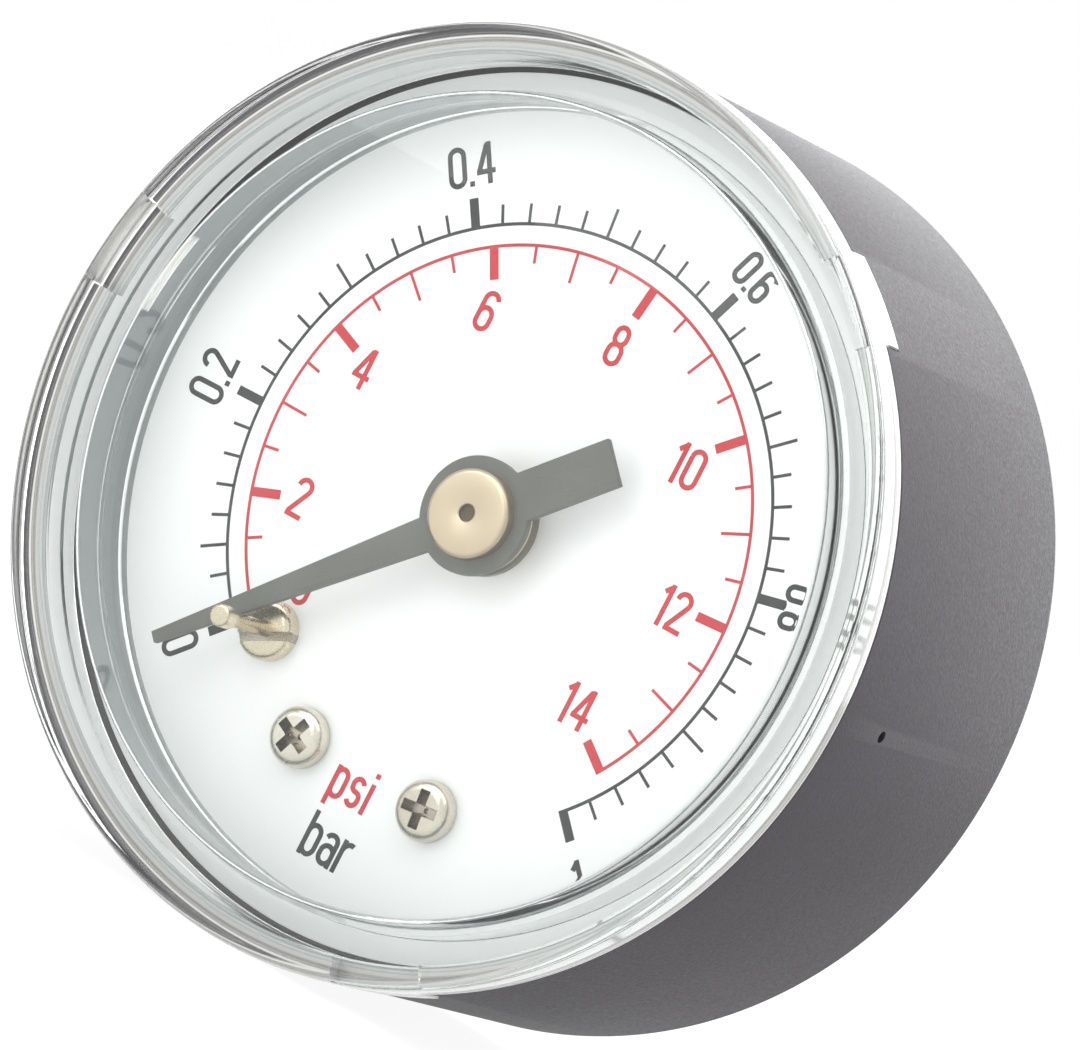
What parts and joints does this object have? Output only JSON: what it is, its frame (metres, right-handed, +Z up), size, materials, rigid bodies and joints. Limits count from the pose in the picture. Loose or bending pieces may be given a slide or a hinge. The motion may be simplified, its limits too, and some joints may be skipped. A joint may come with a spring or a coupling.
{
  "type": "pressure gauge",
  "caption": "Round dial pressure gauge for a pool filter, with a threaded stem at the centre of its back and a tube, sector and pinion movement that turns the pointer.",
  "frame": {"origin": "centre of the stem's sealing shoulder, where the hexagon ends and the thread begins, on the gauge axis", "axes": "+Y along the stem, away from the dial; +Z up and +X right as the dial is read from the front"},
  "size_m": [0.0502, 0.047, 0.0502],
  "materials": {
    "black_plastic": "fine matte moulded",
    "clear_plastic": "clear moulded",
    "dial_white": "satin white with printed scales",
    "pointer_black": "matt black paint",
    "plated_screw": "bright nickel plate",
    "plated_brass": "nickel plate over brass",
    "brass": "machined",
    "steel": "polished",
    "spring_bronze": "drawn, satin"
  },
  "bodies": {
    "housing": {"case": "black_plastic", "lens": "clear_plastic", "case_screws": "plated_screw", "dial": "dial_white", "dial_screws": "plated_screw", "stop_post": "plated_brass", "top_plate": "brass", "bottom_plate": "brass", "pillars": "brass", "plate_screws": "plated_screw", "movement_screws": "plated_screw", "hairspring": "spring_bronze", "hairspring_stud": "brass", "bourdon_tube": "spring_bronze", "socket": "brass", "restrictor": "brass"},
    "pointer_arbor": {"pointer": "pointer_black", "pointer_hub": "brass", "pinion": "steel", "hairspring_collet": "brass"},
    "sector": {"sector_gear": "brass", "sector_arbor": "steel", "link_tail_pin": "steel"},
    "pull_link": {"link": "brass"},
    "tube_tip": {"tube_end_piece": "brass", "link_tip_pin": "steel"}
  },
  "joints": [
    {"name": "pointer_spin", "type": "hinge", "parent": "housing", "child": "pointer_arbor", "pos_m": [0, -0.0199, 0], "axis": [0, 1, 0], "range_deg": [0, 270], "deforming": ["hairspring"]},
    {"name": "sector_swing", "type": "hinge", "parent": "housing", "child": "sector", "pos_m": [0.0054, -0.0199, -0.00935], "axis": [0, 1, 0], "range_deg": [-34, 0]},
    {"name": "link_swing", "type": "hinge", "parent": "sector", "child": "pull_link", "pos_m": [0.00868, -0.0199, -0.01286], "axis": [0, 1, 0], "range_deg": [0, 34]},
    {"name": "tube_tip_flex", "type": "slide", "parent": "housing", "child": "tube_tip", "axis": [0.5, 0, 0.866], "range_m": [0, 0.00279], "stiffness_N_per_m": 20, "springref_m": -0.0005, "deforming": ["bourdon_tube"]}
  ],
  "couplings": [
    {"joint": "pointer_spin", "follows": "tube_tip_flex", "rad_per_m": 1691},
    {"joint": "sector_swing", "follows": "tube_tip_flex", "rad_per_m": -211.38},
    {"joint": "link_swing", "follows": "tube_tip_flex", "rad_per_m": 211.38}
  ]
}
